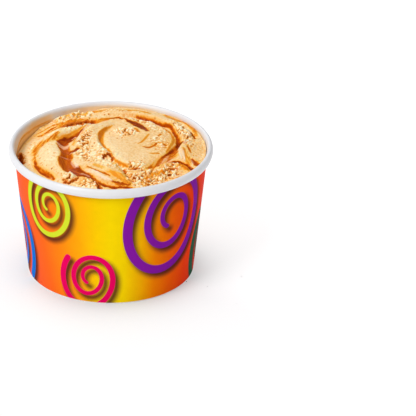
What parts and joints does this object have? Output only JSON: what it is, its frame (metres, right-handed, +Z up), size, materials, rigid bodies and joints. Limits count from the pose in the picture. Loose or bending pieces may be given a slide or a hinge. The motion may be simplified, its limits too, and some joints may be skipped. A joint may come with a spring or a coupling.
{
  "type": "gelato cup",
  "caption": "Small round paper cup with a rolled rim and a swirl print, filled to the brim with caramel swirl gelato.",
  "frame": {"origin": "centre of the ring that the cup stands on", "axes": "+Z up along the cup's axis; -Y towards the side shown in the picture; +X to its right; the sleeve's side seam is at +Y"},
  "size_m": [0.074, 0.074, 0.0502],
  "materials": {
    "printed_board": "satin",
    "plain_board": "matte",
    "gelato": "satin"
  },
  "bodies": {
    "root": {"cup_wall": "printed_board", "cup_base": "plain_board", "gelato": "gelato"}
  },
  "joints": []
}
